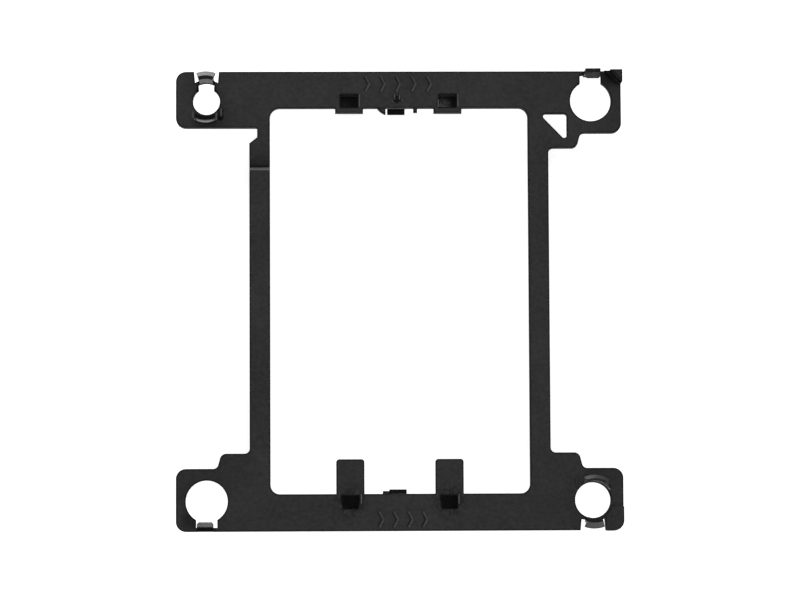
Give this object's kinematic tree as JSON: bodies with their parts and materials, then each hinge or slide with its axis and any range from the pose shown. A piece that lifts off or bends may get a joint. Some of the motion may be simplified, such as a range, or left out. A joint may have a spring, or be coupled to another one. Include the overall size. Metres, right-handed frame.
{
  "type": "processor carrier frame",
  "caption": "Moulded plastic frame that carries a large rectangular processor under its heat sink, with four corner bores for the nuts and snap hooks on top.",
  "frame": {"origin": "centre of the frame in plan, on the plane its guide walls and catches rest on", "axes": "+Z towards the heat sink, +Y towards the latch end, +X towards the rail without the ramp"},
  "size_m": [0.0893, 0.0921, 0.0106],
  "materials": {
    "frame": "fine moulded texture, matte"
  },
  "bodies": {
    "root": {"carrier_frame": "frame"}
  },
  "joints": []
}
